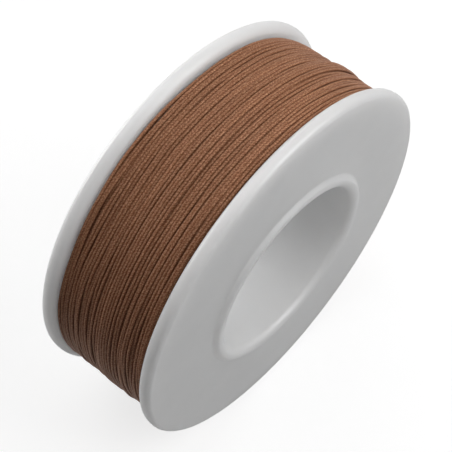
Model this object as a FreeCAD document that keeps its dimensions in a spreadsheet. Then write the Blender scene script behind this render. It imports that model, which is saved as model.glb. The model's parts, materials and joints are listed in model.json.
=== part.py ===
"""A spool of waxed thread, in millimetres.

The spool's axis is Y, +Z is up and the origin is in the middle of the bore. The spool is two moulded halves
that snap together inside the barrel. The front half faces -Y and has the spigot, the rear half faces +Y and
has the socket. The thread is one length: its packed layers, its last turns and its loose end are solids of
their own.
"""

import FreeCAD, Part

import math
import os

import Sketcher

# The driving dimensions: name, millimetres (or degrees), and what it measures.
SIZES = [
    # the spool's outside
    ("flange_dia", 60.0, "outside of the flanges"),
    ("spool_width", 20.8, "from one flange's outer face to the other's, without the lips"),
    ("flange_thick", 2.3, "thickness of a flange"),
    ("rim_round", 1.2, "rounding of a flange's rim where it meets the inner face"),
    ("face_round", 0.8, "rounding of a flange's rim where it meets the outer face"),
    # the bore and the lip round its mouth
    ("bore_dia", 28.6, "the bore, for a peg or the maker's fingers"),
    ("lip_round", 1.2, "rounding from the lip's crest into the bore"),
    ("lip_rise", 0.7, "how far the lip stands out of the flange's face"),
    ("lip_land", 0.3, "flat land on the lip's crest, which a shelf or a washer meets"),
    ("lip_slope", 1.0, "from the lip's land out to its foot on the flange"),
    # the barrel and the joint between the halves
    ("barrel_wall", 2.4, "wall of the barrel"),
    ("root_round", 0.5, "fillet between the barrel and a flange"),
    ("spigot_wall", 1.1, "wall of the spigot"),
    ("spigot_len", 4.0, "how far the spigot goes into the socket"),
    ("joint_fit", 0.05, "radial clearance between spigot and socket"),
    ("seam_gap", 0.1, "from the spigot's end to the socket's shoulder"),
    ("seam_bevel", 0.2, "bevel of the two edges that meet in the bore"),
    ("lead_in", 0.3, "bevel that guides the spigot into the socket"),
    ("snap_rise", 0.15, "height of the snap bead on the spigot"),
    ("snap_half", 0.6, "half the snap bead's length"),
    ("snap_back", 1.3, "from the spigot's end to the middle of the snap bead"),
    ("snap_play", 0.1, "room round the snap bead in its groove"),
    # the tape that holds the thread's start
    ("tape_thick", 0.12, "thickness of the tape"),
    ("tape_width", 10.0, "the tape's size along the spool's axis"),
    ("tape_angle", 50.0, "how far the tape goes round the barrel, in degrees"),
    # the thread
    ("thread_dia", 0.5, "the thread"),
    ("layer_gap", 0.02, "gap between solids that lie on each other"),
    ("side_gap", 0.1, "gap between the winding and a flange"),
    ("rim_margin", 1.1, "from the last full layer out to the flanges' rims"),
    ("shown_depth", 1.7, "depth of the full layers that the outer solid stands for"),
    ("shoulder_round", 0.6, "rounding of the winding where it meets the flanges"),
    ("band_width", 2.8, "the last turns, which lie on the last full layer"),
    ("band_offset", 1.0, "middle of the last turns, from the spool's middle towards the front"),
    ("end_travel", 3.1, "how far the loose end wanders along the axis"),
    ("end_angle", 26.0, "how far the loose end goes round the winding, in degrees"),
    ("end_turned", 8.0, "where the loose end starts, above +X, in degrees"),
]

CUT_OVERRUN = 1.0  # how far a cut runs past the surface that it opens
LEAST_CUT = 1.0  # cubic millimetres that a cut has to take away
FULL_TURN = 360.0
ON_AXIS = 1e-9  # a coordinate below this is zero, and its point lies on the axis
RIM_ROUND_SHARE = 0.55  # the most of a flange's thickness that the inner rounding of its rim takes
FACE_ROUND_SHARE = 0.4  # the most that the outer rounding takes
BAND_HEIGHT = 0.8  # height of the last turns at their middle, in thread diameters
BAND_EDGE = 0.3  # their height at the edges


class Size:
    """A number together with the expression on the sheet that gives it."""

    def __init__(self, number, text):
        self.number = number
        self.text = text

    def __add__(self, other):
        other = as_size(other)
        return Size(self.number + other.number, f"({self.text} + {other.text})")

    def __sub__(self, other):
        other = as_size(other)
        return Size(self.number - other.number, f"({self.text} - {other.text})")

    def __mul__(self, other):
        other = as_size(other)
        return Size(self.number * other.number, f"({self.text} * {other.text})")

    def __truediv__(self, other):
        other = as_size(other)
        return Size(self.number / other.number, f"({self.text} / {other.text})")

    def __neg__(self):
        return self * -1.0


def as_size(value):
    return value if isinstance(value, Size) else Size(float(value), f"{float(value)}")


def smaller(first, second):
    """The smaller of two sizes, worked out on the sheet."""
    return Size(min(first.number, second.number), f"min({first.text}; {second.text})")


def sagitta_radius(half_chord, rise):
    """Radius of the arc that rises that much over a chord."""
    return (half_chord * half_chord + rise * rise) / (rise * 2.0)


def make_sheet(doc):
    """Writes the driving dimensions to a spreadsheet and returns them as sizes by name."""
    sheet = doc.addObject("Spreadsheet::Sheet", "Sizes")
    sizes = {}
    for row, (name, number, meaning) in enumerate(SIZES, start=1):
        sheet.set(f"A{row}", name)
        sheet.set(f"B{row}", str(number))
        sheet.set(f"C{row}", meaning)
        sheet.setAlias(f"B{row}", name)
        sizes[name] = Size(number, f"Sizes.{name}")
    doc.recompute()
    return sizes


def origin_plane(body, role):
    """One of a body's own origin planes."""
    return next(f for f in body.Origin.OriginFeatures if f.Role == role)


def new_body(doc, name):
    body = doc.addObject("PartDesign::Body", name)
    body.Label = name
    return body


def new_sketch(body, name):
    """A sketch on the body's XY plane: its x is the radius and its y is the place along the spool's axis."""
    sketch = body.newObject("Sketcher::SketchObject", name)
    sketch.AttachmentSupport = [(origin_plane(body, "XY_Plane"), "")]
    sketch.MapMode = "FlatFace"
    return sketch


def bind_distance(sketch, kind, geometry, vertex, size, label):
    """Fixes one coordinate of a point, measured from the sketch's origin, to a size on the sheet."""
    axis = -2 if kind == "DistanceX" else -1
    if abs(size.number) < ON_AXIS:
        sketch.addConstraint(Sketcher.Constraint("PointOnObject", geometry, vertex, axis))
        return
    ends = (-1, 1, geometry, vertex) if size.number > 0 else (geometry, vertex, -1, 1)
    size = size if size.number > 0 else -size
    index = sketch.addConstraint(Sketcher.Constraint(kind, *ends, size.number))
    sketch.renameConstraint(index, label)
    sketch.setExpression(f"Constraints.{label}", size.text)


def arc_between(start, end, radius, turn):
    """The short arc from start to end. turn is 1 where the path turns left along it, and -1 where it turns
    right."""
    chord = end - start
    middle = (start + end) / 2.0
    left = FreeCAD.Vector(-chord.y, chord.x, 0).normalize()
    centre = middle + left * turn * math.sqrt(max(radius**2 - (chord.Length / 2) ** 2, 0.0))
    angles = [math.atan2((p - centre).y, (p - centre).x) for p in (start, end)]
    if turn < 0:
        angles.reverse()
    if angles[1] < angles[0]:
        angles[1] += 2 * math.pi
    circle = Part.Circle(centre, FreeCAD.Vector(0, 0, 1), radius)
    return Part.ArcOfCircle(circle, *angles)


def draw_outline(sketch, corners):
    """Draws a closed outline and binds it to the sheet.

    A corner is (x, y) where a straight line arrives at it, or (x, y, radius, turn) where an arc does.
    """
    points = [FreeCAD.Vector(c[0].number, c[1].number, 0) for c in corners]
    ends = []
    for index, corner in enumerate(corners):
        start, end = points[index - 1], points[index]
        if len(corner) == 2:
            sketch.addGeometry(Part.LineSegment(start, end), False)
            ends.append((1, 2))
        else:
            sketch.addGeometry(arc_between(start, end, corner[2].number, corner[3]), False)
            ends.append((1, 2) if corner[3] > 0 else (2, 1))
    for index, corner in enumerate(corners):
        after = (index + 1) % len(corners)
        arriving, leaving = ends[index][1], ends[after][0]
        sketch.addConstraint(Sketcher.Constraint("Coincident", index, arriving, after, leaving))
        bind_distance(sketch, "DistanceX", index, arriving, corner[0], f"across_{index}")
        bind_distance(sketch, "DistanceY", index, arriving, corner[1], f"along_{index}")
        if len(corner) > 2:
            number = sketch.addConstraint(Sketcher.Constraint("Radius", index, corner[2].number))
            sketch.renameConstraint(number, f"radius_{index}")
            sketch.setExpression(f"Constraints.radius_{index}", corner[2].text)


def turned(corners, side):
    """The outline's corners, with the second number counted from the spool's middle towards that side."""
    placed = []
    for corner in corners:
        across, along = as_size(corner[0]), as_size(corner[1])
        arc = [] if len(corner) == 2 else [as_size(corner[2]), corner[3] * side]
        placed.append((across, along * side, *arc))
    return placed


def revolve(body, kind, name, corners, side=1, angle=FULL_TURN):
    """Turns an outline round the axis. kind is Revolution, which adds it, or Groove, which cuts it."""
    sketch = new_sketch(body, f"{name}_outline")
    draw_outline(sketch, turned(corners, side))
    feature = body.newObject(f"PartDesign::{kind}", name)
    feature.Profile = sketch
    feature.ReferenceAxis = (sketch, ["V_Axis"])
    feature.Midplane = True
    feature.Angle = as_size(angle).number
    if isinstance(angle, Size):
        feature.setExpression("Angle", angle.text)
    body.Document.recompute()
    return feature


class SpoolSizes:
    """The sizes that several pieces share, worked out from the sheet once."""

    def __init__(self, s):
        self.face = s["spool_width"] / 2
        self.inner_face = self.face - s["flange_thick"]
        self.flange_r = s["flange_dia"] / 2
        self.rim_round = smaller(s["rim_round"], s["flange_thick"] * RIM_ROUND_SHARE)
        self.face_round = smaller(s["face_round"], s["flange_thick"] * FACE_ROUND_SHARE)
        self.bore_r = s["bore_dia"] / 2
        self.crest_r = self.bore_r + s["lip_round"]
        self.land_r = self.crest_r + s["lip_land"]
        self.foot_r = self.land_r + s["lip_slope"]
        self.crest = self.face + s["lip_rise"]
        self.barrel_r = self.bore_r + s["barrel_wall"]
        self.spigot_r = self.bore_r + s["spigot_wall"]
        self.socket_r = self.spigot_r + s["joint_fit"]
        self.snap_at = s["spigot_len"] - s["snap_back"]
        self.tape_r = self.barrel_r + s["layer_gap"]
        self.winding_start_r = self.tape_r + s["tape_thick"] + s["layer_gap"]
        self.winding_side = self.inner_face - s["side_gap"]
        self.winding_r = self.flange_r - s["rim_margin"]
        self.buried_r = self.winding_r - s["shown_depth"]


def half_shell(body, s, d, side):
    """A flange with its half of the barrel and the rounded lip round the bore's mouth."""
    slope_mid_r = d.land_r + s["lip_slope"] / 2
    slope_mid = d.face + s["lip_rise"] / 2
    slope_round = sagitta_radius(s["lip_slope"] / 2, s["lip_rise"] / 2)
    corners = [
        (d.bore_r, 0),
        (d.barrel_r, 0),
        (d.barrel_r, d.inner_face - s["root_round"]),
        (d.barrel_r + s["root_round"], d.inner_face, s["root_round"], -1),
        (d.flange_r - d.rim_round, d.inner_face),
        (d.flange_r, d.inner_face + d.rim_round, d.rim_round, 1),
        (d.flange_r, d.face - d.face_round),
        (d.flange_r - d.face_round, d.face, d.face_round, 1),
        (d.foot_r, d.face),
        (slope_mid_r, slope_mid, slope_round, -1),
        (d.land_r, d.crest, slope_round, 1),
        (d.crest_r, d.crest),
        (d.bore_r, d.crest - s["lip_round"], s["lip_round"], 1),
    ]
    return revolve(body, "Revolution", "shell", corners, side)


def make_front_half(doc, s, d):
    """The half that faces -Y. Its spigot crosses the middle, so the seam in the bore is nearer the rear."""
    body = new_body(doc, "front_half")
    half_shell(body, s, d, side=-1)
    snap_round = sagitta_radius(s["snap_half"], s["snap_rise"])
    end = s["spigot_len"]
    corners = [
        (d.bore_r, 0),
        (d.spigot_r, 0),
        (d.spigot_r, d.snap_at - s["snap_half"]),
        (d.spigot_r, d.snap_at + s["snap_half"], snap_round, 1),
        (d.spigot_r, end - s["lead_in"]),
        (d.spigot_r - s["lead_in"], end),
        (d.bore_r + s["seam_bevel"], end),
        (d.bore_r, end - s["seam_bevel"]),
    ]
    revolve(body, "Revolution", "spigot", corners)
    return body


def make_rear_half(doc, s, d):
    """The half that faces +Y, with the socket and the groove that the snap bead drops into."""
    body = new_body(doc, "rear_half")
    shell = half_shell(body, s, d, side=1)
    before = shell.Shape.Volume
    groove_half = s["snap_half"] + s["snap_play"]
    groove_round = sagitta_radius(groove_half, s["snap_rise"] + s["snap_play"])
    shoulder = s["spigot_len"] + s["seam_gap"]
    opened_r = d.bore_r - CUT_OVERRUN
    corners = [
        (opened_r, 0),
        (d.socket_r + s["lead_in"], 0),
        (d.socket_r, s["lead_in"]),
        (d.socket_r, d.snap_at - groove_half),
        (d.socket_r, d.snap_at + groove_half, groove_round, 1),
        (d.socket_r, shoulder),
        (d.bore_r + s["seam_bevel"], shoulder),
        (d.bore_r, shoulder + s["seam_bevel"]),
        (opened_r, shoulder + s["seam_bevel"]),
    ]
    socket = revolve(body, "Groove", "socket", corners)
    if socket.Shape.Volume > before - LEAST_CUT:
        raise RuntimeError("the socket cuts nothing")
    return body


def make_start_tape(doc, s, d):
    """The strip of tape that holds the thread's start to the barrel, under all the layers."""
    body = new_body(doc, "start_tape")
    half = s["tape_width"] / 2
    outside = d.tape_r + s["tape_thick"]
    corners = [(d.tape_r, -half), (outside, -half), (outside, half), (d.tape_r, half)]
    revolve(body, "Revolution", "strip", corners, angle=s["tape_angle"])
    return body


def make_winding_inner(doc, s, d):
    """The buried layers of thread, from the barrel out to the ones that show."""
    body = new_body(doc, "winding_inner")
    outside = d.buried_r - s["layer_gap"]
    bevel = s["root_round"]
    corners = [
        (d.winding_start_r, -(d.winding_side - bevel)),
        (d.winding_start_r + bevel, -d.winding_side),
        (outside, -d.winding_side),
        (outside, d.winding_side),
        (d.winding_start_r + bevel, d.winding_side),
        (d.winding_start_r, d.winding_side - bevel),
    ]
    revolve(body, "Revolution", "layers", corners)
    return body


def make_winding_outer(doc, s, d):
    """The outer full layers of thread, rounded off where they meet the flanges."""
    body = new_body(doc, "winding_outer")
    curve = s["shoulder_round"]
    corners = [
        (d.buried_r, -d.winding_side),
        (d.winding_r - curve, -d.winding_side),
        (d.winding_r, -(d.winding_side - curve), curve, 1),
        (d.winding_r, d.winding_side - curve),
        (d.winding_r - curve, d.winding_side, curve, 1),
        (d.buried_r, d.winding_side),
    ]
    revolve(body, "Revolution", "layers", corners)
    return body


def make_last_turns(doc, s, d):
    """The last few turns, a low crowned band on the last full layer."""
    body = new_body(doc, "last_turns")
    inside = d.winding_r + s["layer_gap"]
    height = s["thread_dia"] * BAND_HEIGHT
    edge = s["thread_dia"] * BAND_EDGE
    crown = sagitta_radius(s["band_width"] / 2, height - edge)
    near = s["band_offset"] - s["band_width"] / 2
    far = s["band_offset"] + s["band_width"] / 2
    corners = [
        (inside, -near),
        (inside, -far),
        (inside + edge, -far),
        (inside + edge, -near, crown, 1),
    ]
    revolve(body, "Revolution", "turns", corners)
    return body


def make_thread_end(doc, s, d):
    """The loose end of the thread, which comes out from under the last turns and lies on the winding."""
    body = new_body(doc, "thread_end")
    sketch = new_sketch(body, "thread_section")
    radius = s["thread_dia"] / 2
    middle_r = d.winding_r + s["layer_gap"] + radius
    middle = s["band_width"] / 2 - s["band_offset"] + radius + s["layer_gap"]
    centre = FreeCAD.Vector(middle_r.number, middle.number, 0)
    sketch.addGeometry(Part.Circle(centre, FreeCAD.Vector(0, 0, 1), radius.number), False)
    bind_distance(sketch, "DistanceX", 0, 3, middle_r, "across")
    bind_distance(sketch, "DistanceY", 0, 3, middle, "along")
    index = sketch.addConstraint(Sketcher.Constraint("Radius", 0, radius.number))
    sketch.renameConstraint(index, "radius")
    sketch.setExpression("Constraints.radius", radius.text)
    helix = body.newObject("PartDesign::AdditiveHelix", "lay")
    helix.Profile = sketch
    helix.ReferenceAxis = (sketch, ["V_Axis"])
    helix.Mode = "pitch-height-angle"
    helix.setExpression("Pitch", (s["end_travel"] * FULL_TURN / s["end_angle"]).text)
    helix.setExpression("Height", s["end_travel"].text)
    body.Placement = FreeCAD.Placement(
        FreeCAD.Vector(0, 0, 0), FreeCAD.Rotation(FreeCAD.Vector(0, -1, 0), s["end_turned"].number)
    )
    return body


def check(doc, bodies):
    """Stops the build if a feature failed or a sub-part isn't one valid solid."""
    doc.recompute()
    for item in doc.Objects:
        if {"Invalid", "Error"} & set(item.State):
            raise RuntimeError(f"{item.Label} failed: {item.State}")
    for body in bodies:
        shape = body.Shape
        if shape.isNull() or not shape.isValid() or len(shape.Solids) != 1:
            raise RuntimeError(f"{body.Label} isn't one valid solid")


def main():
    doc = FreeCAD.newDocument("thread_spool")
    s = make_sheet(doc)
    d = SpoolSizes(s)
    makers = [
        make_front_half,
        make_rear_half,
        make_start_tape,
        make_winding_inner,
        make_winding_outer,
        make_last_turns,
        make_thread_end,
    ]
    bodies = [make(doc, s, d) for make in makers]
    check(doc, bodies)
    os.makedirs("parts", exist_ok=True)
    for body in bodies:
        body.Shape.exportStep(f"parts/{body.Label}.step")
        box = body.Shape.optimalBoundingBox()
        sides = [(box.XMin, box.XMax), (box.YMin, box.YMax), (box.ZMin, box.ZMax)]
        ends = ", ".join(f"{low:.2f} to {high:.2f}" for low, high in sides)
        print(f"{body.Label}: {body.Shape.Volume:.1f} mm3, {ends}")


main()
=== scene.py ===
# %% [markdown]
# # A spool of waxed thread
# Leather is sewn with thick waxed thread, which is sold on a wide plastic spool with a large open bore.
# This lesson builds the looks of such a spool round its fixed frame: two moulded halves, and the thread
# wound on them. The moulding is plain, so nearly all of the work is in the thread. Every turn that shows is
# real geometry, laid a little unevenly.

# %% Load the frame
import json
import math

import bpy
import numpy as np
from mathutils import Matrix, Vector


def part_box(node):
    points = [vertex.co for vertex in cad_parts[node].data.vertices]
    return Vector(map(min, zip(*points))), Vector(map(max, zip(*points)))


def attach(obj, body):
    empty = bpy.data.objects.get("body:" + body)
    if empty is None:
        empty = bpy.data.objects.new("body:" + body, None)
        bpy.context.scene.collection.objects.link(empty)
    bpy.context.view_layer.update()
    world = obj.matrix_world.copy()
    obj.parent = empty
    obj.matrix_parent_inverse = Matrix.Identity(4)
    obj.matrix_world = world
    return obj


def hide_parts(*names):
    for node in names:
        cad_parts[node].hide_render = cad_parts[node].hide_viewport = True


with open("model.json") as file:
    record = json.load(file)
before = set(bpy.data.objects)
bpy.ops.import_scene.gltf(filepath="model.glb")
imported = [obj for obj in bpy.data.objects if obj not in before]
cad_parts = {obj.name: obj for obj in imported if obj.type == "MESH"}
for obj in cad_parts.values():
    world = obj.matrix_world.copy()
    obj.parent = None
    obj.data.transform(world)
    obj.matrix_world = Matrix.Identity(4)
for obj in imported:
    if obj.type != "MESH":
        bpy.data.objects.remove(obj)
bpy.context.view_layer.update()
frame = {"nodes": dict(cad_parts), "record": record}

bpy.ops.object.select_all(action="DESELECT")
print("the frame's nodes:", sorted(frame["nodes"]))

# %% [markdown]
# ## Sizes
# The frame gives the outside of each piece and the bore. The few sizes that it doesn't give, such as the
# roundings, are named once, where they are first needed. Blender works in metres, so millimetres are
# written as a number times MM.

# %% Sizes from the frame
MM = 0.001
X = 0
Y = 1
SPOOL_BODY = "root"


def reach(node, axis):
    """How far a node reaches on one axis: its lowest and highest place."""
    low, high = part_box(node)
    return low[axis], high[axis]


_, flange_r = reach("front_half", X)
_, spigot_end = reach("front_half", Y)
_, lip_crest = reach("rear_half", Y)
_, winding_r = reach("winding_outer", X)
_, winding_side = reach("winding_outer", Y)
closing_low, closing_high = reach("last_turns", Y)
bore_r = frame["record"]["mounts"][0]["dims"]["r_mm"] * MM
lip_rise = 0.7 * MM
flange_thick = 2.3 * MM
thread_dia = 0.5 * MM
face = lip_crest - lip_rise
inner_face = face - flange_thick
print(f"flange radius {flange_r / MM:.2f} mm, winding radius {winding_r / MM:.2f} mm")
print(f"faces at {face / MM:.2f} mm, insides of the flanges at {inner_face / MM:.2f} mm")

# %% [markdown]
# ## Working with selections
# Operators act on what is selected, so each step first selects the ring of edges that it is about. On a
# turned shape a ring is known by its radius and its place on the axis. Its edges could also be picked by
# number, but their numbers change with every bevel.

# %% Selection helpers
NEAR = 0.01 * MM


def edit(obj, keep):
    """Enters edit mode with the vertices selected that keep() accepts, and the edges between them."""
    mesh = obj.data
    chosen = [bool(keep(vertex.co)) for vertex in mesh.vertices]
    for parts in (mesh.polygons, mesh.edges):
        parts.foreach_set("select", [all(chosen[corner] for corner in part.vertices) for part in parts])
    mesh.vertices.foreach_set("select", chosen)
    bpy.context.tool_settings.mesh_select_mode = (False, True, False)
    bpy.ops.object.mode_set(mode="EDIT")


def on_ring(radius, along):
    """A test for a vertex that lies on one ring of a turned shape."""
    return lambda co: abs(math.hypot(co.x, co.z) - radius) < NEAR and abs(co.y - along) < NEAR


def only(obj):
    """Makes obj the one selected and active object."""
    bpy.ops.object.select_all(action="DESELECT")
    obj.select_set(True)
    bpy.context.view_layer.objects.active = obj


# %% [markdown]
# ## A turned shell
# Each half of the spool is one injection moulding: a flange, a rounded lip round the bore's mouth, and half
# of the barrel. It is a turned shape, so it starts as a circle. The circle is extruded and resized from
# ring to ring round the section, and its last ring is merged with its first. A section spun about the axis
# gives the same mesh, but a bevel is easier to place on rings than on a loose section.

# %% A shell from rings
AROUND = 192  # vertices in one ring


def ring_stack(name, rings):
    """A closed shell of revolution round Y: a circle that is extruded through the rings (radius, along)."""
    radius, along = rings[0]
    bpy.ops.mesh.primitive_circle_add(
        vertices=AROUND,
        radius=radius,
        fill_type="NOTHING",
        location=(0, along, 0),
        rotation=(math.pi / 2, 0, 0),
    )
    shell = bpy.context.object
    shell.name = shell.data.name = name
    bpy.ops.object.transform_apply(location=True, rotation=True, scale=True)
    bpy.ops.object.mode_set(mode="EDIT")
    bpy.ops.mesh.select_all(action="SELECT")
    for next_radius, next_along in rings[1:] + rings[:1]:
        step = next_along - along
        grow = next_radius / radius
        bpy.ops.mesh.extrude_region_move(TRANSFORM_OT_translate={"value": (0, step, 0)})
        bpy.ops.transform.resize(value=(grow, 1, grow), center_override=(0, next_along, 0))
        radius, along = next_radius, next_along
    bpy.ops.mesh.select_all(action="SELECT")
    bpy.ops.mesh.remove_doubles(threshold=NEAR / 10)
    bpy.ops.mesh.normals_make_consistent(inside=False)
    bpy.ops.object.mode_set(mode="OBJECT")
    return shell


def round_ring(shell, radius, along, width, segments):
    """Bevels one ring of a shell."""
    edit(shell, on_ring(radius, along))
    bpy.ops.mesh.bevel(offset_type="OFFSET", offset=width, segments=segments, profile=0.5, affect="EDGES")
    bpy.ops.object.mode_set(mode="OBJECT")


# %% [markdown]
# ## The lip
# The lip round the bore's mouth rises out of the flange's face in a soft S, runs flat for a moment, and
# rolls over into the bore. The roll is a plain arc, which a bevel makes. A bevel can't make the S, so that
# is a stack of rings whose heights follow half a wave.

# %% The lip's slope
lip_round = 1.2 * MM
lip_land = 0.3 * MM
lip_slope = 1.0 * MM
land_r = bore_r + lip_round + lip_land
foot_r = land_r + lip_slope
SLOPE_RINGS = 10


def lip_slope_rings():
    """The rings of the slope from the flange's face up to the lip's land."""
    rings = []
    for step in range(SLOPE_RINGS + 1):
        share = step / SLOPE_RINGS
        height = lip_rise * (1 - math.cos(math.pi * share)) / 2
        rings.append((foot_r + (land_r - foot_r) * share, face + height))
    return rings


print(f"the lip's foot has a radius of {foot_r / MM:.2f} mm and its crest one of {land_r / MM:.2f} mm")

# %% [markdown]
# ## The two halves
# The halves differ only at the joint. The front one has a spigot that goes into the rear one's socket, so
# the seam that shows in the bore lies behind the middle. A moulding has no sharp edge where fingers or
# thread touch it, so each such ring is bevelled. Weighted normals then keep the flat faces flat beside the
# bevels.

# %% Sizes of the halves
barrel_wall = 2.4 * MM
spigot_wall = 1.1 * MM
joint_room = 0.05 * MM
barrel_r = bore_r + barrel_wall
spigot_r = bore_r + spigot_wall
socket_r = spigot_r + joint_room
seam_gap = 0.1 * MM
seam_bevel = 0.2 * MM
rim_round = 1.2 * MM
face_round = 0.8 * MM
root_round = 0.5 * MM
SHARP_ANGLE = math.radians(40)
print(f"the barrel has a radius of {barrel_r / MM:.2f} mm and the joint one of {spigot_r / MM:.2f} mm")


# %% Mould the halves
def moulded_half(name, side):
    """One half. side is -1 for the front, which has the spigot, and 1 for the rear, with the socket.

    A rounding is a ring's radius and place along the axis, then the bevel's width and segments.
    """
    seam = -spigot_end if side < 0 else spigot_end + seam_gap
    joint_r = spigot_r if side < 0 else socket_r
    rings = [
        (bore_r, seam),
        (joint_r, seam),
        (joint_r, 0),
        (barrel_r, 0),
        (barrel_r, inner_face),
        (flange_r, inner_face),
        (flange_r, face),
        *lip_slope_rings(),
        (bore_r, lip_crest),
    ]
    roundings = [
        (flange_r, inner_face, rim_round, 7),
        (flange_r, face, face_round, 5),
        (bore_r, lip_crest, lip_round, 7),
        (barrel_r, inner_face, root_round, 3),
        (bore_r, seam, seam_bevel, 1),
    ]
    shell = ring_stack(name, [(radius, side * along) for radius, along in rings])
    for radius, along, width, segments in roundings:
        round_ring(shell, radius, side * along, width, segments)
    only(shell)
    bpy.ops.object.shade_smooth_by_angle(angle=SHARP_ANGLE)
    bpy.ops.object.modifier_add(type="WEIGHTED_NORMAL")
    shell.modifiers[-1].keep_sharp = True
    bpy.ops.object.modifier_apply(modifier=shell.modifiers[-1].name)
    print(name, "has", len(shell.data.polygons), "faces")
    return shell


front_shell = moulded_half("front_shell", -1)
rear_shell = moulded_half("rear_shell", 1)

# %% [markdown]
# ## How thread lies on a spool
# A winding machine guides the thread to and fro while the spool turns, so each turn lies about one thread
# beside the last. Waxed thread sticks where it lands. Some turns crowd together, and between them narrow
# grooves open and close again after a few centimetres, where the layer beneath shows dark. A bump map can't
# make those grooves or the ragged edges of the winding, so each turn is geometry.
#
# The course of a thread is three lists with one entry for each step: the angle round the spool, the place
# along the axis and the distance from the axis. The spacing of the turns is random along the thread, but a
# turn is always followed one turn later by its neighbour, so the places are added up across the turns. That
# keeps them in order.

# %% Random curves
def smooth_random(random, steps, knots):
    """A smooth random curve through that many knots, with one value for each step. Its ends meet."""
    values = random.normal(size=knots)
    place = np.arange(steps) * knots / steps
    low = np.floor(place).astype(int)
    blend = (1 - np.cos(np.pi * (place - low))) / 2
    return values[low % knots] * (1 - blend) + values[(low + 1) % knots] * blend


def wobble(random, turns, steps, size, knots_per_turn):
    """A random sway of that size along the turns."""
    return size * smooth_random(random, turns * steps, turns * knots_per_turn)


# %% The course of the turns
STEPS = 160  # steps in one turn
ANGLE_START = -math.pi / 2  # the layers start and end under the spool
GROOVE_LEVEL = 0.1  # the higher this is, the fewer grooves open


def turned_angles(turns, steps):
    """The angle round the spool at each step."""
    return ANGLE_START + np.arange(turns * steps) * 2 * math.pi / steps


def spaced_turns(random, turns, steps, start, end, looseness, knots_per_turn):
    """The place along the axis of each step of a layer, with grooves where the turns stand apart."""
    noise = smooth_random(random, turns * steps, turns * knots_per_turn)
    opening = np.clip(noise - GROOVE_LEVEL, 0, None)
    spacing = (1 + looseness * opening).reshape(turns, steps)
    total = spacing.sum(axis=0)
    before = np.cumsum(spacing, axis=0) - spacing
    climb = np.arange(steps) / steps * spacing[0, 0] / total[0]
    return start + (end - start) * (before / total + climb).ravel()


# %% [markdown]
# ## From a strip to a wound thread
# Blender has no tool that winds. A strip is added as a grid, one face long for each step and a few faces
# wide. Its vertices are then moved in code: the width of the strip is rolled into a tube, and its length is
# laid along the course. The grid brings its own UV map, which follows the thread round every turn, and the
# twist of the thread is drawn on that map later. A curve with a bevel makes the same tube, but it has no
# control over the thread's flattened section, and it has to be converted in the end.

# %% Roll a strip round its course
def lay_along(mesh, sides, angle, along, radius, width, height):
    """Moves a flat strip's vertices to a tube that follows the course."""
    steps = len(angle) - 1
    flat = np.zeros(len(mesh.vertices) * 3)
    mesh.vertices.foreach_get("co", flat)
    flat = flat.reshape(-1, 3) + 0.5
    step = np.rint(flat[:, 0] * steps).astype(int)
    turn = np.rint(flat[:, 1] * sides) / sides * 2 * np.pi
    out = radius[step] - np.cos(turn) * height / 2
    beside = along[step] + np.sin(turn) * width / 2
    wound = np.stack([out * np.cos(angle[step]), beside, out * np.sin(angle[step])], axis=1)
    mesh.vertices.foreach_set("co", wound.ravel())


def measure_map(mesh, angle, along, radius):
    """Turns the map's u into millimetres along the thread, and returns the thread's length."""
    steps = len(angle) - 1
    path = np.stack([radius * np.cos(angle), along, radius * np.sin(angle)], axis=1)
    length = np.concatenate([[0], np.cumsum(np.linalg.norm(np.diff(path, axis=0), axis=1))])
    uv = np.zeros(len(mesh.loops) * 2)
    mesh.uv_layers[0].data.foreach_get("uv", uv)
    uv = uv.reshape(-1, 2)
    uv[:, 0] = length[np.rint(uv[:, 0] * steps).astype(int)] / MM
    mesh.uv_layers[0].data.foreach_set("uv", uv.ravel())
    return length[-1]


# %% Wind a thread
def wind(name, angle, along, radius, width, height, sides=8):
    """A closed tube of thread along a course."""
    bpy.ops.mesh.primitive_grid_add(x_subdivisions=len(angle) - 1, y_subdivisions=sides, size=1)
    thread = bpy.context.object
    thread.name = thread.data.name = name
    lay_along(thread.data, sides, angle, along, radius, width, height)
    length = measure_map(thread.data, angle, along, radius)
    only(thread)
    bpy.ops.object.mode_set(mode="EDIT")
    bpy.context.tool_settings.mesh_select_mode = (True, False, False)
    bpy.ops.mesh.select_all(action="DESELECT")
    bpy.ops.mesh.select_non_manifold()
    bpy.ops.mesh.remove_doubles(threshold=NEAR / 100)
    bpy.ops.mesh.select_all(action="SELECT")
    bpy.ops.mesh.fill_holes(sides=sides)
    bpy.ops.mesh.normals_make_consistent(inside=False)
    bpy.ops.object.mode_set(mode="OBJECT")
    bpy.ops.object.shade_smooth()
    print(f"{name}: {length:.2f} m of thread, {len(thread.data.polygons)} faces")
    return thread


# %% [markdown]
# ## The package's shape
# The wound package isn't a true cylinder. It falls away a little towards the front flange, swells beside
# the rear one, and has a hollow on one side, where the guide turned back early. The hollow is deepest at
# the rear flange. All of that is a radius that is added to the course, and a sculpting brush would not be
# as even.

# %% Helpers for uneven places
def facing(angle, middle, spread):
    """1 on the side of the spool that faces the middle angle, falling to 0 away from it.

    The middle and the spread are in degrees.
    """
    turned = np.angle(np.exp(1j * (angle - math.radians(middle))))
    return np.exp(-((turned / math.radians(spread)) ** 2))


def ramp(place, start, length):
    """0 before the start, and an even rise to 1 over the length."""
    return np.clip((place - start) / length, 0, 1)


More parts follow.
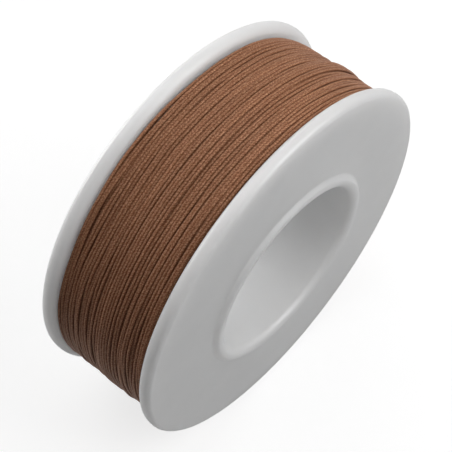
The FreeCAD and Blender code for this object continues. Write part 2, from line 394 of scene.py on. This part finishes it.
# %% Lumps
HOLLOW = (35, 30)  # its angle round the spool and how far it spreads, in degrees
SWELLS = ((110, 45), (190, 40))  # the same for each swell
WAVE_HEIGHT = 0.025 * MM
SWELL_HEIGHT = 0.2 * MM
FRONT_FALL = 0.12 * MM
HOLLOW_DEPTH = 0.09 * MM
HOLLOW_REAR_DEPTH = 0.55 * MM
FRONT_RAMP = (3.5 * MM, 4.5 * MM)  # how far from the middle it starts, and over what length it grows
REAR_RAMP = (3.0 * MM, 5.0 * MM)
REAR_EDGE_RAMP = (6.0 * MM, 2.0 * MM)
WAVES = ((2, 1.1, 3.1 * MM), (3, 4.0, -2.3 * MM))  # how many round the spool, their phase and slant


def lumps(angle, along):
    """The package's low swells and hollows, as a radius to add."""
    waves = sum(np.sin(count * angle + phase + along / slant) for count, phase, slant in WAVES)
    near_front = ramp(-along, *FRONT_RAMP)
    near_rear = ramp(along, *REAR_RAMP)
    rear_edge = ramp(along, *REAR_EDGE_RAMP)
    hollow = facing(angle, *HOLLOW)
    swell = sum(facing(angle, *place) for place in SWELLS)
    raised = WAVE_HEIGHT * waves + SWELL_HEIGHT * near_rear * swell
    fallen = FRONT_FALL * near_front * (1 - hollow)
    hollowed = (HOLLOW_DEPTH + HOLLOW_REAR_DEPTH * rear_edge) * hollow
    return raised - fallen - hollowed


# %% [markdown]
# ## The layers that show
# Two layers are enough. The top layer is what is seen, and the layer beneath it fills the grooves. Both are
# pressed in a little under the closing turns. The layer beneath is hardly seen, so its tubes are coarser.

# %% Sizes of a layer
TURNS = 31  # turns in one layer
TOP_DEPTH = 0.06 * MM  # how far the top layer lies inside the winding's box, to leave room for its wobbles
LAYER_STEP = 0.27 * MM  # how far one layer lies above the one beneath it
UNDER_DEPTH = TOP_DEPTH + LAYER_STEP
GROOVE_KNOTS = 10  # how often in one turn a groove may open or close
SIDE_WOBBLES = ((0.05 * MM, 9), (0.045 * MM, 26))  # size, and knots in one turn
HEIGHT_WOBBLE = (0.06 * MM, 24)
PRESSED_DEPTH = 0.15 * MM
PRESSED_INSET = 0.15 * MM  # the pressed strip is that much narrower on each side than the closing turns
PRESSED_EDGE = 0.12 * MM
pressed_width = 1.04 * thread_dia  # the layers are pressed a little flat
pressed_height = 0.86 * thread_dia
closing_middle = (closing_low + closing_high) / 2
print(f"the closing turns lie round {closing_middle / MM:.2f} mm along the axis")


# %% Wind the two full layers
def under_closing(along):
    """1 under the closing turns, which press the layer down, and 0 away from them."""
    half = (closing_high - closing_low) / 2 - PRESSED_INSET
    return 1 / (1 + np.exp((np.abs(along - closing_middle) - half) / PRESSED_EDGE))


def layer(name, seed, steps, depth, looseness, sides):
    """One full layer of thread, that lies that depth inside the winding's box."""
    random = np.random.default_rng(seed)
    half = winding_side - thread_dia / 2
    angle = turned_angles(TURNS, steps)
    along = spaced_turns(random, TURNS, steps, -half, half, looseness, GROOVE_KNOTS)
    for size, knots in SIDE_WOBBLES:
        along = along + wobble(random, TURNS, steps, size, knots)
    radius = winding_r - pressed_height / 2 - depth + lumps(angle, along)
    radius = radius + wobble(random, TURNS, steps, *HEIGHT_WOBBLE)
    radius = radius - PRESSED_DEPTH * under_closing(along)
    along = np.clip(along, -half, half)
    return wind(name, angle, along, radius, pressed_width, pressed_height, sides)


top_layer = layer("top_layer", seed=17, steps=STEPS, depth=TOP_DEPTH, looseness=0.26, sides=8)
under_layer = layer("under_layer", seed=23, steps=STEPS // 2, depth=UNDER_DEPTH, looseness=0.2, sides=6)

# %% [markdown]
# ## The closing turns
# The last few turns ride on the top layer and wander across it at a low angle. They stand out the most at
# one place, where they make a hump in the outline. They are one more course for the same winding tool.

# %% Closing turns
CLOSING_TURNS = 5
CLOSING_SEED = 5
CLOSING_LOOSENESS = 0.3
CLOSING_KNOTS = 6
CLOSING_LIFT = 0.1 * MM  # lifts them a little out of the winding's box all round
CLOSING_WOBBLE = (0.03 * MM, 8)
HUMP = (35, 40)  # its angle round the spool and how far it spreads, in degrees
HUMP_HEIGHT = 0.16 * MM
HUMP_FALL = 0.6  # how much of the hump is lost at the sides of the closing turns
closing_height = 0.92 * thread_dia


def closing():
    """The last turns of the thread."""
    random = np.random.default_rng(CLOSING_SEED)
    half = thread_dia / 2
    low = closing_low + half
    high = closing_high - half
    angle = turned_angles(CLOSING_TURNS, STEPS)
    along = spaced_turns(random, CLOSING_TURNS, STEPS, low, high, CLOSING_LOOSENESS, CLOSING_KNOTS)
    crown = 1 - HUMP_FALL * ((along - closing_middle) / (closing_high - closing_middle)) ** 2
    hump = HUMP_HEIGHT * facing(angle, *HUMP) * crown
    radius = winding_r - half + CLOSING_LIFT + hump
    radius = radius + wobble(random, CLOSING_TURNS, STEPS, *CLOSING_WOBBLE)
    return wind("closing_turns", angle, along, radius, thread_dia, closing_height)


closing_turns = closing()

# %% [markdown]
# ## The loose end
# The end of the thread comes out from under the closing turns, curves away from them and lies down on the
# winding. The frame gives the box of this end, so its course runs from one corner of the box to the other.

# %% Loose end
END_STEPS = 60
END_SIDES = 12
END_START = 0.15  # where in the box's width the end comes out
END_BEND = 1.3  # above 1, the end curves away from the closing turns
END_TUCK = 0.14 * MM  # how far it starts out below its last place
END_WAVE = 0.05 * MM
END_WAVE_ANGLE = 7  # how far the wave runs along the end, in radians


def loose_end():
    """The end of the thread, that comes out from under the closing turns and lies on the winding."""
    low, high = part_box("thread_end")
    share = np.linspace(0, 1, END_STEPS)
    start = math.atan2(high.z, low.x)
    end = math.atan2(low.z, low.x)
    angle = start + (end - start) * share
    across = END_START + (1 - END_START) * share**END_BEND
    along = low.y + (high.y - low.y) * across - thread_dia / 2
    radius = winding_r + thread_dia / 2 - END_TUCK * (1 - share) + END_WAVE * np.sin(END_WAVE_ANGLE * share)
    return wind("loose_end", angle, along, radius, thread_dia, thread_dia, END_SIDES)


loose_thread_end = loose_end()

# %% [markdown]
# ## Shader maths as Python
# A material is a graph of nodes. Wired by hand it is hard to read, so a small class wraps a socket and
# turns each Python operator into a Math node. A formula such as `1 - mask * 0.5` then reads as it is meant.

# %% A socket that can be calculated with
FULL_TURN = 2 * math.pi


class Wire:
    """An output socket. Arithmetic with numbers or other wires adds Math nodes."""

    def __init__(self, shader, socket):
        self.shader = shader
        self.socket = socket

    def maths(self, operation, first, second=0.0):
        return self.shader.add("ShaderNodeMath", {"operation": operation}, {0: first, 1: second})

    def __add__(self, other):
        return self.maths("ADD", self, other)

    def __sub__(self, other):
        return self.maths("SUBTRACT", self, other)

    def __rsub__(self, other):
        return self.maths("SUBTRACT", other, self)

    def __mul__(self, other):
        return self.maths("MULTIPLY", self, other)

    __radd__ = __add__
    __rmul__ = __mul__

    def wave(self):
        """A sine of the value, moved to run between 0 and 1."""
        return self.maths("SINE", self) * 0.5 + 0.5

    def between(self, low, high):
        """0 below low and 1 above high, with a smooth rise from one to the other."""
        sockets = {"Value": self, "From Min": low, "From Max": high}
        return self.shader.add("ShaderNodeMapRange", {"interpolation_type": "SMOOTHSTEP"}, sockets)

    def parts(self):
        """The three numbers of a place, each as a wire."""
        first = self.shader.add("ShaderNodeSeparateXYZ", {}, {0: self})
        return [Wire(self.shader, socket) for socket in first.socket.node.outputs]


# %% [markdown]
# A node tree needs the same care. One method adds every node: it is told the node's type, its settings and
# what its sockets get. The few nodes that most materials use have a short name of their own.

# %% A node tree that is built from wires
MIX_FACTOR = 0  # the places of a colour Mix node's sockets, which share their names with its number sockets
MIX_FIRST = 6
MIX_SECOND = 7
MIX_RESULT = 2


class Shader:
    """A node tree, and the one way in which nodes are added to it."""

    def __init__(self, tree):
        self.tree = tree

    def add(self, kind, settings, sockets, output=0):
        """Adds a node, sets it up, gives its sockets their values or wires, and returns an output."""
        node = self.tree.nodes.new(kind)
        for name, value in settings.items():
            setattr(node, name, value)
        for name, value in sockets.items():
            self.feed(node.inputs[name], value)
        return Wire(self, node.outputs[output])

    def feed(self, socket, value):
        if isinstance(value, Wire):
            self.tree.links.new(value.socket, socket)
        else:
            socket.default_value = value

    def into(self, node_name, socket_name, value):
        """Feeds a socket of a node that the tree came with."""
        self.feed(self.tree.nodes[node_name].inputs[socket_name], value)

    def surface(self, socket_name, value):
        self.into("Principled BSDF", socket_name, value)

    def mix(self, factor, first, second, blend="MIX"):
        """One colour from two."""
        settings = {"data_type": "RGBA", "blend_type": blend}
        sockets = {MIX_FACTOR: factor, MIX_FIRST: first, MIX_SECOND: second}
        return self.add("ShaderNodeMix", settings, sockets, output=MIX_RESULT)

    def noise(self, place, scale, detail):
        """Noise from 0 to 1."""
        return self.add("ShaderNodeTexNoise", {}, {"Vector": place, "Scale": scale, "Detail": detail})

    def place(self, x, y=0.0, z=0.0):
        return self.add("ShaderNodeCombineXYZ", {}, {0: x, 1: y, 2: z})

    def coordinates(self, kind):
        return self.add("ShaderNodeTexCoord", {}, {}, output=kind)

    def bump(self, height, distance, strength=1.0):
        """Tilts the surface as if it rose and fell by that distance."""
        sockets = {"Height": height, "Distance": distance, "Strength": strength}
        self.surface("Normal", self.add("ShaderNodeBump", {}, sockets))


# %% Materials and colours
def new_material(name, constants):
    """A material with one Principled surface, whose constant sockets are set directly."""
    material = bpy.data.materials.new(name)
    material.use_nodes = True
    shader = Shader(material.node_tree)
    for socket_name, value in constants.items():
        shader.surface(socket_name, value)
    return material, shader


def colour(red, green, blue):
    return (red, green, blue, 1.0)


def grey(level):
    return colour(level, level, level)


def paint(pieces, material):
    """Gives pieces their one material."""
    for piece in pieces:
        piece.data.materials.clear()
        piece.data.materials.append(material)
    names = ", ".join(piece.name for piece in pieces)
    print(f"{material.name}: {len(material.node_tree.nodes)} nodes, on {names}")


# %% [markdown]
# ## White moulded plastic
# The halves are satin white polystyrene. Light goes a few millimetres into it and comes out again, which
# softens every shade, so the surface has full subsurface scattering. A plain white paint would look like
# chalk. The mould leaves a very fine grain, and handling leaves faint clouds of grey and of gloss. Object
# coordinates are enough for both, because every finished piece sits at the origin.

# %% Plastic
PLASTIC_WORN = colour(0.823, 0.82, 0.817)
PLASTIC_CLEAN = colour(0.863, 0.86, 0.857)
PLASTIC_DEPTH = 5.0 * MM  # how far light travels inside it
PLASTIC_GRAIN = 2600.0
PLASTIC_CLOUDS = 90.0


def plastic_material():
    translucent = {
        "Subsurface Weight": 1.0,
        "Subsurface Radius": (1.0, 0.98, 0.96),
        "Subsurface Scale": PLASTIC_DEPTH,
        "Specular IOR Level": 1.0,
    }
    material, shader = new_material("satin_white_plastic", translucent)
    place = shader.coordinates("Object")
    grain = shader.noise(place, PLASTIC_GRAIN, 3.0)
    clouds = shader.noise(place, PLASTIC_CLOUDS, 4.0)
    cloudy = clouds.between(0.35, 0.7)
    shader.surface("Base Color", shader.mix(cloudy, PLASTIC_WORN, PLASTIC_CLEAN))
    shader.surface("Roughness", 0.37 + cloudy * 0.06 + grain * 0.05)
    shader.bump(grain * 0.8 + clouds * 0.2, 0.02 * MM, 0.4)
    return material


paint((front_shell, rear_shell), plastic_material())

# %% [markdown]
# ## Waxed thread
# The thread is three strands twisted together. On the thread's own UV map, u is the distance along it in
# millimetres and v goes once round it, so a slanting wave of `3 v + u / pitch` makes three ridges that
# twist. Fine noise, stretched along the same slant, is the fibre, and gives the thread a random tone. The
# hollows of the twist and the sides and underside of each turn are painted darker, as painted shade. The
# outer crown of each turn is painted paler, as a painted highlight, and pale specks along the fibre are
# painted glints. Ridges modelled as geometry would be finer than any view shows.

# %% The thread's colours and twist
THREAD_BROWN = colour(0.322, 0.138, 0.071)
# painted shade, also used for darker fibres: the thread's brown darkened for the hollows and the underside
# of each turn, and in the buried layers
THREAD_SHADE_AND_DARK_FIBRE = colour(0.15, 0.062, 0.03)
# painted highlight: a pale colour for glints on the fibre and on the outer crown of each turn
THREAD_PAINTED_HIGHLIGHT = colour(0.62, 0.335, 0.2)
DYE_STRONG = colour(0.86, 0.84, 0.82)  # multiplies the thread's colour where the dye took well
DYE_WEAK = colour(1.08, 1.06, 1.04)
STRANDS = 3
TWIST_PITCH = 0.42  # millimetres of thread between two ridges
TWIST_WANDER = 2.2  # how unevenly the strands are twisted


# %% Thread
def thread_material():
    material, shader = new_material("waxed_brown_thread", {"Specular IOR Level": 0.1})
    along, around, _ = shader.coordinates("UV").parts()
    wander = shader.noise(shader.place(along * 0.9), 1.0, 2.0)
    twist = ((around * STRANDS + along * (1 / TWIST_PITCH) + wander * TWIST_WANDER) * FULL_TURN).wave()
    fibre = shader.noise(shader.place(along * 2.4, around * 7 + along * 5.0), 1.6, 3.0)
    specks = shader.noise(shader.place(along * 4.5, around * 6), 1.0, 3.0)
    ridge = twist * 0.22 + fibre * 0.78
    crown = (around * FULL_TURN - math.pi / 2).wave()
    # painted shade: the dark colour goes to the hollows of the twist and to the sides and underside of each
    # turn; the fibre noise in the mask adds a random tone
    body = shader.mix((ridge * 0.6 + crown * 0.4).between(0.35, 0.8), THREAD_SHADE_AND_DARK_FIBRE, THREAD_BROWN)
    # painted highlight: pale specks along the fibre and the outer crown of each turn, as glints
    bright = (specks * 0.75 + twist * 0.05 + crown * 0.2).between(0.52, 0.72)
    body = shader.mix(bright * 0.8, body, THREAD_PAINTED_HIGHLIGHT)
    drift = shader.noise(shader.place(along * 0.05), 1.0, 2.0)
    dye = shader.mix(drift.between(0.3, 0.7), DYE_STRONG, DYE_WEAK)
    shader.surface("Base Color", shader.mix(1.0, body, dye, "MULTIPLY"))
    shader.surface("Roughness", 0.62 - ridge * 0.18)
    shader.bump(ridge + specks * 0.3, 0.05 * MM, 0.75)
    return material


paint((top_layer, under_layer, closing_turns, loose_thread_end), thread_material())

# %% [markdown]
# ## Buried layers and tape
# The buried layers and the strip of tape under them are CAD nodes that stay as they are. They have no UV
# map, so their patterns use the place itself: fine rings round the axis for the layers, and paper fibre for
# the tape. Neither is seen from outside. The tape has the finish of the real thing. The buried layers are
# coloured far darker than the thread, as painted shade for the depth of the winding, and their rings put
# darker painted shade between the turns.

# %% Buried layers
# painted shade: far darker than the thread's own brown, for the deep shade between the buried turns
BURIED_PAINTED_SHADE = colour(0.05, 0.02, 0.012)
BURIED_FIBRE = 3000.0


def buried_material():
    material, shader = new_material("buried_thread", {"Specular IOR Level": 0.2})
    place = shader.coordinates("Object")
    _, spool_axis, _ = place.parts()
    rings = (spool_axis * (FULL_TURN / thread_dia)).wave()
    fibre = shader.noise(place, BURIED_FIBRE, 2.0)
    # painted shade: the rings put the darkest colour between the turns
    shader.surface("Base Color", shader.mix(rings * 0.7 + fibre * 0.3, BURIED_PAINTED_SHADE, THREAD_SHADE_AND_DARK_FIBRE))
    shader.surface("Roughness", 0.6 + fibre * 0.2)
    shader.bump(rings, 0.1 * MM)
    return material


paint([frame["nodes"]["winding_inner"]], buried_material())

# %% Tape
PAPER_DARK = colour(0.62, 0.58, 0.48)
PAPER_PALE = colour(0.78, 0.75, 0.66)
PAPER_FIBRE = 1500.0


def tape_material():
    material, shader = new_material("paper_tape", {"Specular IOR Level": 0.3})
    fibre = shader.noise(shader.coordinates("Object"), PAPER_FIBRE, 5.0)
    shader.surface("Base Color", shader.mix(fibre, PAPER_DARK, PAPER_PALE))
    shader.surface("Roughness", 0.7 + fibre * 0.2)
    shader.bump(fibre, 0.03 * MM)
    return material


paint([frame["nodes"]["start_tape"]], tape_material())

# %% [markdown]
# ## Tie the pieces to the frame
# Every piece rides on the frame's one body, and the CAD node that it stands for is hidden. The list also
# names a finish for each piece, which nothing reads.

# %% Ride and replace
STANDS_FOR = [
    (front_shell, "front_half", "spool_plastic"),
    (rear_shell, "rear_half", "spool_plastic"),
    (top_layer, "winding_outer", "waxed_thread"),
    (under_layer, "winding_outer", "waxed_thread"),
    (closing_turns, "last_turns", "waxed_thread"),
    (loose_thread_end, "thread_end", "waxed_thread"),
]
for piece, node, slot in STANDS_FOR:
    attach(piece, SPOOL_BODY)
    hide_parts(node)
    print(f"{piece.name} stands for {node}")

# %% [markdown]
# ## Floor
# The spool stands on its rims on a pale floor. The floor looks white to the camera, but it bounces only a
# little light back, so the underside stays dark enough to read. Away from the spool it fades to the white
# of the world, so no horizon shows.

# %% Floor
FLOOR_SIZE = 6.0
FLOOR_GLOW = 0.74
FLOOR_NEAR = 0.1  # where the floor begins to fade to white, from the middle
FLOOR_FAR = 0.35  # where it has faded
FLOOR_LIT = 0.42
FLOOR_DULL = 0.25
WHITE = grey(1.0)


def seen_directly(shader):
    """1 for what the camera sees, directly or in a glossy surface, and 0 for light that bounces."""
    camera = shader.add("ShaderNodeLightPath", {}, {}, output="Is Camera Ray")
    glossy = shader.add("ShaderNodeLightPath", {}, {}, output="Is Glossy Ray")
    return camera + glossy


def floor_material():
    material, shader = new_material("pale_floor", {})
    across, along, _ = shader.coordinates("Object").parts()
    far = (across * across + along * along).between(FLOOR_NEAR**2, FLOOR_FAR**2)
    glow_colour = shader.mix(far, grey(FLOOR_GLOW), WHITE)
    glow = shader.add("ShaderNodeEmission", {}, {"Color": glow_colour, "Strength": 1.0})
    lit = shader.add("ShaderNodeBsdfDiffuse", {}, {"Color": grey(FLOOR_LIT)})
    pale = shader.add("ShaderNodeAddShader", {}, {0: glow, 1: lit})
    dull = shader.add("ShaderNodeBsdfDiffuse", {}, {"Color": grey(FLOOR_DULL)})
    shown = shader.add("ShaderNodeMixShader", {}, {0: seen_directly(shader), 1: dull, 2: pale})
    shader.into("Material Output", "Surface", shown)
    return material


bpy.ops.mesh.primitive_plane_add(size=FLOOR_SIZE, location=(0, 0, -flange_r))
floor = bpy.context.object
floor.name = "floor"
paint([floor], floor_material())

# %% [markdown]
# ## World
# The world is white where it is looked at and nearly black as a light, so that the lights alone shape the
# spool. A bright world would be simpler, but it would fill in every shade.

# %% World
WORLD_FILL = 0.01

world = bpy.data.worlds.new("studio")
bpy.context.scene.world = world
world.use_nodes = True
sky = Shader(world.node_tree)
fill = sky.add("ShaderNodeBackground", {}, {"Color": WHITE, "Strength": WORLD_FILL})
white = sky.add("ShaderNodeBackground", {}, {"Color": WHITE, "Strength": 1.0})
shown = sky.add("ShaderNodeMixShader", {}, {0: seen_directly(sky), 1: fill, 2: white})
sky.into("World Output", "Surface", shown)
print("the world has", len(world.node_tree.nodes), "nodes")

# %% [markdown]
# ## Lights
# Five soft lights are used. The main one is above, to the right and in front, and a second one is above and
# behind. A weak one fills the face. A low strip behind the spool skims over the winding and lights both
# rims, and a wide one behind on the right lifts the far edge of the winding.

# %% Lights
def soft_light(name, direction, distance, width, height, power):
    """A rectangular light that looks at the spool's middle from a direction."""
    data = bpy.data.lights.new(name, "AREA")
    data.shape = "RECTANGLE"
    data.size = width
    data.size_y = height
    data.energy = power
    lamp = bpy.data.objects.new(name, data)
    bpy.context.scene.collection.objects.link(lamp)
    away = np.array(direction) / np.linalg.norm(direction) * distance
    lamp.location = away
    lamp.rotation_euler = (-lamp.location).to_track_quat("-Z", "Y").to_euler()
    lamp.visible_camera = False
    print(f"{name}: {power} W from {np.round(away, 2)}")


soft_light("main", (0.36, -0.6, 0.7), distance=0.3, width=0.22, height=0.22, power=0.54)
soft_light("above", (0.0, 0.35, 0.94), distance=0.3, width=0.22, height=0.22, power=0.28)
soft_light("front", (0.0, -0.95, 0.3), distance=0.6, width=0.45, height=0.45, power=0.15)
soft_light("low_behind", (-0.13, 0.97, 0.13), distance=0.6, width=0.4, height=0.15, power=1.8)
soft_light("right_behind", (0.6, 0.7, 0.4), distance=0.6, width=0.45, height=0.45, power=0.4)

# %% [markdown]
# ## Camera
# The camera looks down on the winding and on the front face at once. It has a long lens and stands well
# back, so that both flanges look nearly the same size. A short lens close by would make the front one
# larger.

# %% Camera
VIEW_AZIMUTH = math.radians(-48.8)
VIEW_ELEVATION = math.radians(57.6)
VIEW_DISTANCE = 6.53 * flange_r
FRAME_RIGHT = 0.0406 * flange_r  # how far the spool's middle is to the right of the frame's middle
FRAME_DOWN = 0.0176 * flange_r
SENSOR_WIDTH = 36.0
LENS = 104.15

camera_data = bpy.data.cameras.new("camera")
camera_data.sensor_width = SENSOR_WIDTH
camera_data.lens = LENS
camera = bpy.data.objects.new("camera", camera_data)
bpy.context.scene.collection.objects.link(camera)
camera.rotation_euler = (math.pi / 2 - VIEW_ELEVATION, 0, VIEW_AZIMUTH)
bpy.context.view_layer.update()
turn = camera.matrix_world.to_3x3()
camera.location = turn.col[2] * VIEW_DISTANCE - turn.col[0] * FRAME_RIGHT + turn.col[1] * FRAME_DOWN
bpy.context.scene.camera = camera
bpy.context.scene.view_settings.view_transform = "Standard"
print(f"the camera is {camera.location.length:.3f} m from the spool")
